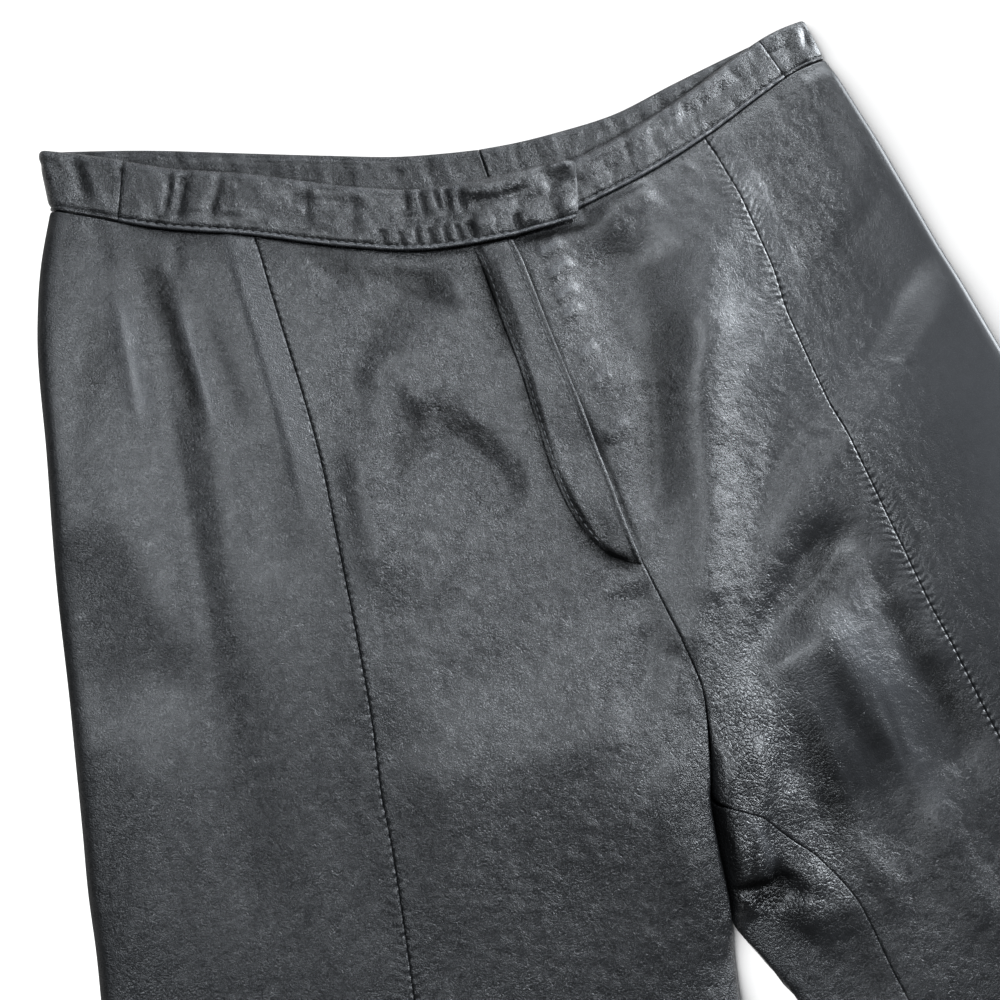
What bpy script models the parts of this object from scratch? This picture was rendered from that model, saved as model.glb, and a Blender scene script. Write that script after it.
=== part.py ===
"""High-waisted leather trousers lying flat on their back, front up, legs a little apart.

X runs towards the wearer's left, Y towards the waist and Z up. The origin is on the surface the trousers lie on,
under the middle of their outline. Sizes in the tables are millimetres, measured in the garment's plane from the
point where the centre front meets the waist seam; scene units are metres.
"""

import math
from collections import namedtuple

import bmesh
import bpy
import numpy as np

MM = 0.001

# Leather
WALL = 1.3  # one thickness of panel leather
BAND_WALL = 2.6  # the waistband is folded double
SEAM_GAP = 0.3
FLARE_GAP = 0.4  # more under the band at the sides, where the panels flare out
LYING_GAP = 0.35  # between a piece and the one it lies on

# Cut
WAIST_FALL = 200.0  # the dip of the waist line fades out over this length of leg
BACK_RISE = 17.5  # the centre back stands this much higher than the centre front
LEG_END = 1037.0  # waist seam to hem, down the inner edge
FORK = 223.0  # the inner fold starts here
CROTCH = 268.0  # the four panels meet here
ORIGIN_Y = 474.7  # from the middle of the outline up to the waist seam at the centre front

# How the flat leather rolls over a folded edge
ROLL = 4.0  # width of the rounded edge, seen from above
REACH = 5.3  # leather from the extreme of a fold to where it lies flat
FOLD_WALL = 0.9  # the rounded edge stands this far out of the middle of its wall
TIP = 0.8  # half the opening where a seam crosses the extreme of a fold
BAND_ROLL = 3.0
BAND_REACH = 4.0

# Space left between the two layers
REST_SPACE = 4.0
FOLD_SPACE = 1.9  # more beside a folded edge
FOLD_SPREAD = 30.0
LEAST_SPACE = 0.5
MOST_SPACE = 13.5
TURN = 0.35  # how gently the space turns towards its two bounds
WAIST_DIP = 2.4  # the panels are drawn down into the waist seam

COLOUR = (0.030, 0.032, 0.036, 1.0)

# Sections of each leg, from the waist seam down. inner and outer are the two folded edges, measured out from the
# middle line, and rise is how much higher the outer end lies. seam is the share of the width at which the front
# and back seams run, and turn is how much leather of the front panel goes round the inner fold: minus where the
# panel stops short of it.
Row = namedtuple("Row", "along inner outer rise seam turn")
RIGHT_ROWS = (
    Row(0, 2.0, 198, 59, 0.581, -REACH),
    Row(25, 0.5, 209, 58, 0.557, -REACH),
    Row(50, -0.7, 217, 57, 0.539, -REACH),
    Row(100, -4.0, 227, 54, 0.526, -REACH),
    Row(150, -5.6, 237, 51, 0.527, -REACH),
    Row(200, -11.5, 245, 49, 0.542, -REACH),
    Row(FORK, -13.0, 249, 48, 0.548, -REACH),
    Row(246, -7.5, 253, 47, 0.546, -3.2),
    Row(CROTCH, -1.0, 257, 46, 0.536, 0.0),
    Row(290, 2.5, 260, 45, 0.536, 16),
    Row(320, 6.0, 265, 45, 0.538, 30),
    Row(360, 15.5, 271, 45, 0.536, 35),
    Row(420, 27.0, 280, 44, 0.535, 35),
    Row(640, 69.0, 313, 43, 0.532, 25),
    Row(840, 105.5, 345, 42, 0.529, 18),
    Row(LEG_END, 141.5, 376, 41, 0.526, 14),
)
LEFT_ROWS = (
    Row(0, -2.0, 187, 54, 0.589, -REACH),
    Row(25, -0.5, 193, 53, 0.588, -REACH),
    Row(50, 0.7, 199, 52, 0.584, -REACH),
    Row(100, 4.0, 209, 51, 0.567, -REACH),
    Row(150, 5.6, 219, 49, 0.560, -REACH),
    Row(200, 11.5, 229, 48, 0.547, -REACH),
    Row(FORK, 13.0, 233, 48, 0.546, -REACH),
    Row(246, 7.5, 237, 47, 0.559, -3.2),
    Row(CROTCH, 1.0, 241, 47, 0.577, 0.0),
    Row(290, -2.5, 245, 46, 0.586, -25),
    Row(305, -4.6, 247, 46, 0.592, -38),
    Row(320, -6.0, 250, 46, 0.596, -50),
    Row(340, 2.0, 253, 46, 0.586, -51),
    Row(370, 14.5, 259, 46, 0.571, -43),
    Row(420, 24.0, 268, 46, 0.562, -41),
    Row(640, 66.0, 308, 45, 0.545, -28),
    Row(840, 105.0, 343, 45, 0.535, -20),
    Row(LEG_END, 143.5, 376, 44, 0.530, -15),
)

# How far the waist line dips under a straight line from the middle to the side, by the share of the way out
Waist = namedtuple("Waist", "share front_right front_left back_right back_left")
WAIST_LINE = (
    Waist(0.00, 0.0, 0.0, 0.0, 0.0),
    Waist(0.10, 5.0, 2.0, 2.2, 3.5),
    Waist(0.22, 9.0, 3.8, 3.8, 6.3),
    Waist(0.40, 9.1, 5.3, 2.9, 8.5),
    Waist(0.60, 6.1, 3.8, 1.2, 5.0),
    Waist(0.80, 5.2, -0.8, -0.4, 2.0),
    Waist(0.90, 2.3, -2.3, -0.3, 0.8),
    Waist(1.00, 0.0, 0.0, 0.0, 0.0),
)

# Waistband: height of each piece at the middle and at the side, and lean of its ends
Band = namedtuple("Band", "middle_height side_height middle_lean side_lean")
BANDS = {
    "front_right": Band(30.5, 29.0, -0.06, -0.07),
    "front_left": Band(22.5, 23.2, 0.06, -0.13),
    "back_right": Band(29.5, 29.0, 0.00, -0.07),
    "back_left": Band(29.5, 23.2, 0.00, -0.13),
}
BAND_JOINT = 0.865  # the back pieces wrap the side and meet the front ones at this share of the way out
TAB_LENGTH = 34.0  # past the centre front
TAB_LEAN = 0.24
BAND_SPACE = 0.4  # between the front and the back of the band

# The raised strip beside the fly, with its rounded lower end
Placket = namedtuple("Placket", "along width")
PLACKET = (
    Placket(1.2, 19.0),
    Placket(36, 20.0),
    Placket(61, 20.5),
    Placket(87, 23.0),
    Placket(114, 24.5),
    Placket(133, 23.0),
    Placket(144, 20.0),
    Placket(152, 16.0),
    Placket(158, 10.5),
    Placket(162, 3.0),
)
FLY_LIFT = 1.5  # the right front rides over the left along the fly

# The largest folds of the front, each a soft trough (minus) or ridge along a bowed line from start to end
Fold = namedtuple("Fold", "start_x start_y end_x end_y bow width depth")
FOLDS = (
    Fold(-185, -135, -197, -279, -2, 15.4, -1.3),
    Fold(-205, -50, -198, -147, 0, 12.1, 1),
    Fold(-231, -74, -233, -171, -4, 22.8, -2.6),
    Fold(-210, -159, -247, -272, -6, 11, 1),
    Fold(-136, -58, -148, -131, -4, 13, -1.1),
    Fold(-113, -90, -133, -207, 3, 12.1, 1),
    Fold(-97, -62, -105, -153, -3, 9.2, 2),
    Fold(-98, -119, -61, -79, 1, 11.7, -1.8),
    Fold(-71, -70, -39, -130, 7, 10.4, -2.8),
    Fold(-130, -229, -5, -236, 5, 32.7, 2.8),
    Fold(-30, -235, 2, -190, 1, 9.7, -2.2),
    Fold(-4, -229, -26, -317, -1, 11.1, 1.9),
    Fold(45, -4, 37, -83, 0, 22, -4.9),
    Fold(47, -60, 14, -154, 2, 9.4, -3.3),
    Fold(130, 9, 71, -50, -2, 12.7, 2.1),
    Fold(86, -34, 51, -138, -4, 15.7, 4.1),
    Fold(56, -106, 19, -193, 7, 11.4, 3.3),
    Fold(107, -48, 153, -117, 2, 71.9, -5.1),
    Fold(119, -166, 24, -235, -4, 11.2, -6),
    Fold(174, 48, 170, -26, 0, 14, -1.1),
    Fold(195, -74, 212, -91, 5, 19.2, 2.9),
    Fold(55, -216, 39, -286, 0, 15.4, -3.9),
    Fold(71, -193, 74, -294, -2, 29.7, 4.6),
    Fold(30, -243, -1, -318, -1, 10.4, 5.9),
    Fold(-5, -309, 48, -390, -10, 17.7, -10.1),
    Fold(56, -19, 93, -115, 4, 45.5, 2.7),
    Fold(-41, -180, 49, -288, -9, 67.8, 5.5),
    Fold(83, -228, 100, -374, 3, 52.3, -1.9),
    Fold(-114, -202, -124, -298, 4, 16.2, 1.2),
    Fold(-47, -237, -32, -344, 4, 34.6, 2.5),
    Fold(119, -188, 135, -313, -5, 13.6, -2.8),
    Fold(62, -193, 92, -291, -7, 9.8, -1.7),
    Fold(57, -234, 64, -327, 3, 13, -1.5),
    Fold(83, -259, 84, -333, -1, 11.8, -1.3),
    Fold(106, -293, 113, -374, -5, 10.7, 2.2),
    Fold(-35, -10, -92, -39, -6, 10.6, -2.2),
    Fold(-97, -46, -42, -51, 7, 11.7, 1.7),
    Fold(-300, -560, -200, -640, 8, 16, -1.2),
    Fold(-110, -610, -205, -690, -6, 16, -1.1),
    Fold(300, -600, 205, -655, -8, 16, -1.2),
    Fold(112, -580, 200, -672, 6, 15, -1.1),
)

# Grid of the panels
NEAR_STEP = 12.5  # between the rows of the upper part, which has the most folds
CROTCH_STEP = 1.5
CROTCH_ROWS = 8
FAR_STEP = 58.0
FAR_FROM = 400.0


def read(rows, column, at):
    """One column of a table, read smoothly between its rows."""
    first = np.array([row[0] for row in rows], dtype=float)
    value = np.array([getattr(row, column) for row in rows], dtype=float)
    slope = np.gradient(value, first)
    below = np.clip(np.searchsorted(first, at, side="right") - 1, 0, len(rows) - 2)
    step = first[below + 1] - first[below]
    t = np.clip((at - first[below]) / step, 0, 1)
    start = value[below] * (1 + 2 * t) * (1 - t) ** 2 + slope[below] * step * t * (1 - t) ** 2
    end = value[below + 1] * t * t * (3 - 2 * t) - slope[below + 1] * step * t * t * (1 - t)
    return start + end


def ease(t):
    t = np.clip(t, 0, 1)
    return t * t * (3 - 2 * t)


def fold_relief(x, y):
    """Height that the folds add to the front at a place in the garment's plane."""
    relief = np.zeros(np.broadcast(x, y).shape)
    for fold in FOLDS:
        run_x = fold.end_x - fold.start_x
        run_y = fold.end_y - fold.start_y
        length = math.hypot(run_x, run_y)
        t = ((x - fold.start_x) * run_x + (y - fold.start_y) * run_y) / length**2
        off = ((y - fold.start_y) * run_x - (x - fold.start_x) * run_y) / length
        off = off - fold.bow * 4 * t * (1 - t)
        end = ease(t / 0.3) * ease((1 - t) / 0.3)
        relief += fold.depth * end * np.exp(-((off / fold.width) ** 2))
    return relief


def soften(space, least, most):
    """Space kept between two bounds, turning smoothly towards them."""
    above = least + TURN * np.logaddexp(0, (space - least) / TURN)
    return most - TURN * np.logaddexp(0, (most - above) / TURN)


def round_edge(run, roll, reach):
    """Distance in from a folded edge, and level from -1 under to 1 on top, at a length of leather from it."""
    angle = np.clip(run / reach, -1, 1) * math.pi / 2
    inset = roll * (1 - np.cos(angle)) + np.maximum(np.abs(run) - reach, 0)
    return inset, np.sin(angle)


class Half:
    """The right or the left half of the trousers: a flattened tube, open along the middle above the crotch."""

    def __init__(self, name, side, rows):
        self.name = name
        self.side = side
        self.rows = rows

    def inner(self, along):
        if self.side < 0:
            return read(self.rows, "inner", along)
        # the left leg starts where the right leg's inner fold leaves room
        return np.maximum(read(self.rows, "inner", along), -read(RIGHT_ROWS, "inner", along))

    def width(self, along):
        reach_out = read(self.rows, "outer", along) - self.inner(along)
        return np.hypot(reach_out, read(self.rows, "rise", along))

    def plan(self, along, share, under):
        """Place in the garment's plane; under is True on the back layer."""
        inner = self.inner(along)
        fade = 1 - ease(along / WAIST_FALL)
        front = read(WAIST_LINE, "front_" + self.name, share)
        back = read(WAIST_LINE, "back_" + self.name, share) - BACK_RISE * (1 - share)
        x = inner + (read(self.rows, "outer", along) - inner) * share
        y = -along + read(self.rows, "rise", along) * share - fade * np.where(under, back, front)
        return self.side * x, y

    def space(self, along, share, x, y):
        """Space between the two layers of leather."""
        width = self.width(along)
        legs = ease((along - FORK) / 50)
        space = REST_SPACE + FOLD_SPACE * np.exp(-((width * (1 - share) / FOLD_SPREAD) ** 2))
        space = space + legs * FOLD_SPACE * np.exp(-((width * share / FOLD_SPREAD) ** 2))
        if self.side < 0:
            fly = (1 - ease((along - 140) / 50)) * np.exp(-((width * share / 26) ** 2))
            space = space + FLY_LIFT * fly
        space = space - WAIST_DIP * np.exp(-((along / 7) ** 2))
        drawn = 1 - 0.7 * np.exp(-((along / 6) ** 2))
        return soften(space + fold_relief(x, y) * drawn, LEAST_SPACE, MOST_SPACE)

    def surface(self, along, distance, level):
        """Middle of the leather at a distance out from the inner edge, level -1 being the back layer."""
        share = distance / self.width(along)
        x, y = self.plan(along, share, level < 0)
        top = WALL * 1.5 + self.space(along, share, x, y)
        z = WALL / 2 + (top - WALL / 2) * (1 + level) / 2
        return np.stack([x, y, z], axis=-1)

    def open_angle(self, along):
        """How far round the inner fold the panels stop above the crotch: 1 on the flat, 0 at the extreme."""
        stop = np.clip(-read(self.rows, "turn", along) / REACH, 0, 1)
        return np.where(along < CROTCH, stop, 0.0)

    def from_inner(self, along, run, layer):
        """A point by the length of leather from the inner fold, plus being towards the layer 1 front or -1 back."""
        stop = self.open_angle(along) * math.pi / 2
        inset, level = round_edge(run, ROLL, REACH)
        start = SEAM_GAP / 2 + FOLD_WALL * np.cos(stop) - ROLL * (1 - np.cos(stop))
        return self.surface(along, inset + start, level * layer)

    def from_outer(self, along, run):
        """A point by the length of leather from the outer fold, plus being towards the front."""
        inset, level = round_edge(run, ROLL, REACH)
        return self.surface(along, self.width(along) - WALL / 2 - inset, level)

    def seam_from_inner(self, along):
        stop = self.open_angle(along) * math.pi / 2
        start = SEAM_GAP / 2 + FOLD_WALL * np.cos(stop) - ROLL * (1 - np.cos(stop))
        distance = read(self.rows, "seam", along) * self.width(along) - SEAM_GAP / 2
        return distance - start - ROLL + REACH

    def seam_from_outer(self, along):
        distance = (1 - read(self.rows, "seam", along)) * self.width(along) - SEAM_GAP / 2
        return distance - WALL / 2 - ROLL + REACH


RIGHT = Half("right", -1, RIGHT_ROWS)
LEFT = Half("left", 1, LEFT_ROWS)


def leg_stations():
    """Where the rows of every panel lie, closer together in the upper part."""
    near = np.arange(0, FAR_FROM, NEAR_STEP)
    far = np.linspace(FAR_FROM, LEG_END, 1 + round((LEG_END - FAR_FROM) / FAR_STEP))
    return np.concatenate([near, far])


def crotch_stations():
    """The same with the rows gathered where the panels roll round the inner fold."""
    plain = leg_stations()
    above = CROTCH - CROTCH_STEP * np.array([7.0, 3.5])
    below = CROTCH + CROTCH_STEP * np.arange(CROTCH_ROWS) ** 1.3
    return np.concatenate([plain[plain < above[0] - 4], above, below, plain[plain > below[-1] + 4]])


def spread(start, end, turned, rounded, flat):
    """Places of a panel's columns from its inner edge to its seam, close together where it goes round a fold."""
    under = np.maximum(-start - REACH, 2.0 * turned)
    bend = start + under
    return np.concatenate(
        [
            start + under * np.arange(turned) / turned,
            bend + 2 * REACH * np.arange(rounded) / rounded,
            bend + 2 * REACH + (end - bend - 2 * REACH) * np.arange(flat + 1) / flat,
        ],
        axis=1,
    )


def even(start, end, count):
    return start + (end - start) * np.arange(count + 1) / count


def inner_edges(half, along):
    """Where the front and the back panel start, each as a length of leather from the inner fold."""
    turn = read(half.rows, "turn", along)
    apart = SEAM_GAP / 2 + TIP * np.exp(-((turn / 5) ** 2))
    above = np.maximum(-turn, SEAM_GAP / 2 + TIP)
    front = np.where(along < CROTCH, above, -turn + apart)
    back = np.where(along < CROTCH, above, turn + apart)
    return front, back


def front_grid(half, stations):
    """Corners of a front panel, from the centre or inside leg seam to the front seam."""
    along = stations[:, None]
    start = inner_edges(half, along)[0]
    seam = half.seam_from_inner(along)
    runs = spread(start, seam, 1, 4, 7) if half.side < 0 else even(start, seam, 10)
    return half.from_inner(along, runs, 1)


def back_grid(half, stations):
    """Corners of a back panel, from the centre or inside leg seam to the back seam."""
    along = stations[:, None]
    start = inner_edges(half, along)[1]
    seam = half.seam_from_inner(along)
    runs = even(start, seam, 5) if half.side < 0 else spread(start, seam, 3, 4, 4)
    return half.from_inner(along, runs, -1)


def side_grid(half, stations):
    """Corners of a side panel, from the front seam round the outer fold to the back seam."""
    along = stations[:, None]
    seam = half.seam_from_outer(along)
    front = seam + (REACH - seam) * np.linspace(0, 1, 6)[None, :-1]
    fold = REACH * np.linspace(1, -1, 5)[None, :-1] * np.ones_like(seam)
    back = -REACH + (REACH - seam) * np.linspace(0, 1, 3)[None, :]
    return half.from_outer(along, np.concatenate([front, fold, back], axis=1))


def band_edge(half, share, under):
    """Waist seam at a share of the way out, going straight on past the centre front."""
    along = np.zeros_like(share)
    x, y = half.plan(along, np.maximum(share, 0), under)
    past = np.minimum(share, 0) * half.width(along)
    return x + half.side * past, y - 0.04 * past


def band_grid(half, layer, share, run_up, middle):
    """Corners of a waistband piece at shares of the way out, from the seam up, with the middle of its wall."""
    piece = BANDS[layer + "_" + half.name]
    under = layer == "back"
    x, y = band_edge(half, share, under)
    ahead_x, ahead_y = band_edge(half, share + 0.02, under)
    behind_x, behind_y = band_edge(half, share - 0.02, under)
    slope = (ahead_y - behind_y) / np.abs(ahead_x - behind_x)
    square = ease(share / 0.15)
    side = ease((share - 0.8) / 0.2)
    tab = TAB_LEAN * np.minimum(share, 0) * half.width(0 * share) / TAB_LENGTH
    lean = (piece.middle_lean * (1 - square) - slope * square) * (1 - side) + piece.side_lean * side + tab
    height = piece.middle_height + (piece.side_height - piece.middle_height) * np.clip(share, 0, 1)
    upright = 1 / np.sqrt(1 + lean**2)
    foot = SEAM_GAP + FLARE_GAP * ease((share - 0.9) / 0.1)
    up = foot + (height - foot) * run_up
    return np.stack(np.broadcast_arrays(x + half.side * lean * upright * up, y + upright * up, middle), axis=-1)


def front_band(half):
    """Front of the band: the right one rises over the left one and ends in the tab."""
    run_up = np.linspace(0, 1, 4)[None, :]
    floor = BAND_WALL + BAND_SPACE + BAND_WALL / 2
    if half.side < 0:
        tab = -TAB_LENGTH / float(half.width(np.zeros(1))[0])
        share = np.linspace(tab, BAND_JOINT, 25)[:, None]
        lift = (BAND_WALL + LYING_GAP) * ease((0.32 - share) / 0.3)
        return band_grid(half, "front", share, run_up, floor + lift)
    share = np.linspace(0.004, BAND_JOINT, 21)[:, None]
    return band_grid(half, "front", share, run_up, floor + 0 * share)


def back_band(half):
    """Back of the band, from the centre back round the side fold to the joint on the front."""
    width = float(half.width(np.zeros(1))[0])
    flat = BAND_REACH - BAND_ROLL - BAND_WALL / 2
    flap = np.linspace((1 - BAND_JOINT) * width - SEAM_GAP + flat, BAND_REACH, 4)[:-1]
    fold = BAND_REACH * np.linspace(1, -1, 5)[:-1]
    lower = np.linspace(-BAND_REACH, -(width - SEAM_GAP / 2 + flat), 12)
    inset, level = round_edge(np.concatenate([flap, fold, lower])[:, None], BAND_ROLL, BAND_REACH)
    share = 1 - (inset + BAND_WALL / 2) / width
    run_up = np.linspace(0, 1, 4)[None, :]
    high = BAND_WALL * 1.5 + BAND_SPACE + 0.5
    middle = BAND_WALL / 2 + (high - BAND_WALL / 2) * (1 + level) / 2
    front = band_grid(half, "front", share, run_up, middle)
    back = band_grid(half, "back", share, run_up, middle)
    return np.where(level[..., None] < 0, back, front)


def placket_grid(panel, stations):
    """The strip beside the fly, from points of the right front panel moved out."""
    along = np.unique(np.concatenate([[row.along for row in PLACKET], stations[(stations > 2) & (stations < 130)]]))
    row_at = np.interp(along, stations, np.arange(len(stations)))
    rows = []
    for row, width in zip(row_at, np.interp(along, [r.along for r in PLACKET], [r.width for r in PLACKET])):
        low = int(row)
        line = panel[low] + (panel[low + 1] - panel[low]) * (row - low)
        out = np.hypot(line[:, 0] - line[0, 0], line[:, 1] - line[0, 1])
        across = np.linspace(0.4, width, 6)
        rows.append(np.stack([np.interp(across, out, line[:, axis]) for axis in range(3)], axis=-1))
    grid = np.array(rows)
    grid[..., 2] += WALL + LYING_GAP
    return grid


def leather(name):
    """Dark, smooth leather."""
    material = bpy.data.materials.new(name)
    material.use_nodes = True
    shader = material.node_tree.nodes["Principled BSDF"]
    shader.inputs["Base Color"].default_value = COLOUR
    shader.inputs["Roughness"].default_value = 0.42
    shader.inputs["Metallic"].default_value = 0.0
    return material


def sew(name, corners, wall, collection):
    """A panel: a grid moved to its corners, with a wall of leather."""
    rows, columns = corners.shape[:2]
    panel = bmesh.new()
    bmesh.ops.create_grid(panel, x_segments=columns - 1, y_segments=rows - 1, size=0.5)
    for corner in panel.verts:
        column = round((corner.co.x + 0.5) * (columns - 1))
        row = round((corner.co.y + 0.5) * (rows - 1))
        x, y, z = corners[row, column]
        corner.co = (x * MM, (y + ORIGIN_Y) * MM, z * MM)
    mesh = bpy.data.meshes.new(name)
    panel.to_mesh(mesh)
    panel.free()
    mesh.materials.append(leather(name + "_leather"))
    mesh.shade_smooth()
    piece = bpy.data.objects.new(name, mesh)
    collection.objects.link(piece)
    thickness = piece.modifiers.new("wall", "SOLIDIFY")
    thickness.thickness = wall * MM
    thickness.offset = 0.0
    thickness.use_even_offset = True
    return piece


def main():
    for old in list(bpy.data.objects):
        bpy.data.objects.remove(old)
    trousers = bpy.data.collections.new("leather_trousers")
    bpy.context.scene.collection.children.link(trousers)

    plain = leg_stations()
    gathered = crotch_stations()
    for half in (RIGHT, LEFT):
        sew("front_panel_" + half.name, front_grid(half, gathered), WALL, trousers)
        sew("side_panel_" + half.name, side_grid(half, plain), WALL, trousers)
        sew("back_panel_" + half.name, back_grid(half, gathered), WALL, trousers)
        sew("waistband_front_" + half.name, front_band(half), BAND_WALL, trousers)
        sew("waistband_back_" + half.name, back_band(half), BAND_WALL, trousers)
    sew("fly_placket", placket_grid(front_grid(RIGHT, gathered), gathered), WALL, trousers)


main()
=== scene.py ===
"""High-waisted leather trousers lying flat on their back: leather shells, stitching, light and camera.

X runs towards the wearer's left, Y towards the waist and Z up. Sizes in the tables are millimetres, measured
in the garment's plane from the point where the centre front meets the waist seam; scene units are metres.
"""

import math
from collections import namedtuple

import bmesh
import bpy
import numpy as np
from mathutils import Matrix, Vector


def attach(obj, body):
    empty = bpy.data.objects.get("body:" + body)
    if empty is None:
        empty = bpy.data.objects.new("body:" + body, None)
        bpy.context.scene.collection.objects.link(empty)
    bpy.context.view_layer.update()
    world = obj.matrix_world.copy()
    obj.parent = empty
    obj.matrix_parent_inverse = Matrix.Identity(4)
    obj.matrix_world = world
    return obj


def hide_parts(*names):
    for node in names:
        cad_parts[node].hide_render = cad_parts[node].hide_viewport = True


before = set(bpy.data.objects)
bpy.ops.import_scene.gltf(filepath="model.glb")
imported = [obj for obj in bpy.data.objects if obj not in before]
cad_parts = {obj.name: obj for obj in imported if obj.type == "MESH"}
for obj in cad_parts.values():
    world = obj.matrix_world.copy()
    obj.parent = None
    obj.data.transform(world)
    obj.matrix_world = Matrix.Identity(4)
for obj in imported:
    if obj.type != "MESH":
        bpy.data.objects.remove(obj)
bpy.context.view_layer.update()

MM = 0.001


def rows_of(kind, rows):
    """Rows of a table, given the names of their columns."""
    return tuple(kind(*row) for row in rows)


# Leather
WALL = 1.3
BAND_WALL = 2.6
SEAM_GAP = 0.1
FLARE_GAP = 0.5
LYING_GAP = 0.35
EDGE = 1.3  # width of a rounded edge, seen from above

# Cut
WAIST_FALL = 200.0
BACK_RISE = 17.5
LEG_END = 1037.0
FORK = 223.0
CROTCH = 268.0
ORIGIN_Y = 474.7
HEM = 26.0  # the hem is turned up by this much
ALLOWANCE = 11.5  # seam allowance pressed towards the side panel

# Rounded folds of the flat leather
ROLL = 4.0
REACH = 5.3
FOLD_WALL = 0.9
TIP = 0.8
BAND_ROLL = 3.0
BAND_REACH = 4.0

# Space between the two layers
REST_SPACE = 4.0
FOLD_SPACE = 1.9
FOLD_SPREAD = 30.0
LEAST_SPACE = 0.3
MOST_SPACE = 13.5
TURN = 0.35  # how softly the space turns towards its bounds
WAIST_DIP = 2.4  # the panels are drawn down into the waist seam
DIP_WIDTH = 7
DRAWN_WIDTH = 6  # folds fade out this near the waist seam
HEM_STEP = 0.6

# Edges of a half by the distance down from the waist: how far out they lie, how much higher the outer one is,
# the share at which the panel seam lies, and how far the inner seam is turned round the fold
Row = namedtuple("Row", "along inner outer rise seam turn")
RIGHT_ROWS = rows_of(Row, [
    (0, 2.0, 198, 59, 0.581, -REACH),
    (25, 0.5, 209, 58, 0.557, -REACH),
    (50, -0.7, 217, 57, 0.539, -REACH),
    (100, -4.0, 227, 54, 0.526, -REACH),
    (150, -5.6, 237, 51, 0.527, -REACH),
    (200, -11.5, 245, 49, 0.542, -REACH),
    (FORK, -13.0, 249, 48, 0.548, -REACH),
    (246, -7.5, 253, 47, 0.546, -3.2),
    (CROTCH, -1.0, 257, 46, 0.536, 0.0),
    (290, 2.5, 260, 45, 0.536, 16),
    (320, 6.0, 265, 45, 0.538, 30),
    (360, 15.5, 271, 45, 0.536, 35),
    (420, 27.0, 280, 44, 0.535, 35),
    (640, 69.0, 313, 43, 0.532, 25),
    (840, 105.5, 345, 42, 0.529, 18),
    (LEG_END, 141.5, 376, 41, 0.526, 14),
])
LEFT_ROWS = rows_of(Row, [
    (0, -2.0, 187, 54, 0.589, -REACH),
    (25, -0.5, 193, 53, 0.588, -REACH),
    (50, 0.7, 199, 52, 0.584, -REACH),
    (100, 4.0, 209, 51, 0.567, -REACH),
    (150, 5.6, 219, 49, 0.560, -REACH),
    (200, 11.5, 229, 48, 0.547, -REACH),
    (FORK, 13.0, 233, 48, 0.546, -REACH),
    (246, 7.5, 237, 47, 0.559, -3.2),
    (CROTCH, 1.0, 241, 47, 0.577, 0.0),
    (290, -2.5, 245, 46, 0.586, -25),
    (305, -4.6, 247, 46, 0.592, -38),
    (320, -6.0, 250, 46, 0.596, -50),
    (340, 2.0, 253, 46, 0.586, -51),
    (370, 14.5, 259, 46, 0.571, -43),
    (420, 24.0, 268, 46, 0.562, -41),
    (640, 66.0, 308, 45, 0.545, -28),
    (840, 105.0, 343, 45, 0.535, -20),
    (LEG_END, 143.5, 376, 44, 0.530, -15),
])

# How far the waist seam hangs below a straight line, by the share of the way out
Waist = namedtuple("Waist", "share front_right front_left back_right back_left")
WAIST_LINE = rows_of(Waist, [
    (0.00, 0.0, 0.0, 0.0, 0.0),
    (0.10, 5.0, 2.0, 2.2, 3.5),
    (0.22, 9.0, 3.8, 3.8, 6.3),
    (0.40, 9.1, 5.3, 2.9, 8.5),
    (0.60, 6.1, 3.8, 1.2, 5.0),
    (0.80, 5.2, -0.8, -0.4, 2.0),
    (0.90, 2.3, -2.3, -0.3, 0.8),
    (1.00, 0.0, 0.0, 0.0, 0.0),
])

# Height and lean of the pieces of the waistband, at the middle and at the side
Band = namedtuple("Band", "middle_height side_height middle_lean side_lean")
BANDS = {
    "front_right": Band(30.5, 29.0, -0.06, -0.07),
    "front_left": Band(22.5, 23.2, 0.06, -0.13),
    "back_right": Band(29.5, 29.0, 0.00, -0.07),
    "back_left": Band(29.5, 23.2, 0.00, -0.13),
}
BAND_JOINT = 0.865
TAB_LENGTH = 34.0
TAB_LEAN = 0.24
TAB_CORNER = 5.0
BAND_SPACE = 0.4
BAND_CORNER = 3.0
JOINT_EDGE = 0.2  # the front and back pieces of the band butt closely
PUFF = 3.4  # width of the soft rounding along the top of the band
FRONT_MIDDLE = BAND_WALL + BAND_SPACE + BAND_WALL / 2  # height of the middle of the band's front
LAP_END = 0.32  # share of the way out where the right front has come down beside the left one
LAP_RISE = 0.3

# Half the thickness of the band by the height above its lower edge: a bead, a stitched groove, the full band
Profile = namedtuple("Profile", "up half")
BEAD = rows_of(Profile, [
    (0.0, 0.0),
    (0.15, 0.48),
    (0.5, 0.82),
    (1.0, 0.98),
    (1.5, 0.90),
    (2.0, 0.56),
    (2.5, 0.62),
    (3.3, 0.98),
    (5.0, 1.3),
    (6.5, 1.3),
    (40.0, 1.3),
])
STITCH_UP = 2.15  # the stitching runs this high above the lower edge of the band

# Width of the fly strip by the distance down from the waist seam
Placket = namedtuple("Placket", "along width")
PLACKET = rows_of(Placket, [
    (1.2, 19.0),
    (36, 20.0),
    (61, 20.5),
    (87, 23.0),
    (114, 24.5),
    (133, 23.0),
    (144, 20.0),
    (152, 16.0),
    (158, 10.5),
    (162, 3.0),
])
FLY_LIFT = 1.5
FLY_SPREAD = 26
FLY_STITCH = 2.9  # distance of the stitching from the edge of the fly

# Stitches
STITCH_PITCH = 3.8
Stitch = namedtuple("Stitch", "length radius")
WAIST_THREAD = Stitch(3.1, 0.34)
FLY_THREAD = Stitch(2.9, 0.3)

# Folds: soft troughs (minus) or ridges along a bowed line from start to end
Fold = namedtuple("Fold", "start_x start_y end_x end_y bow width depth")
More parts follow.
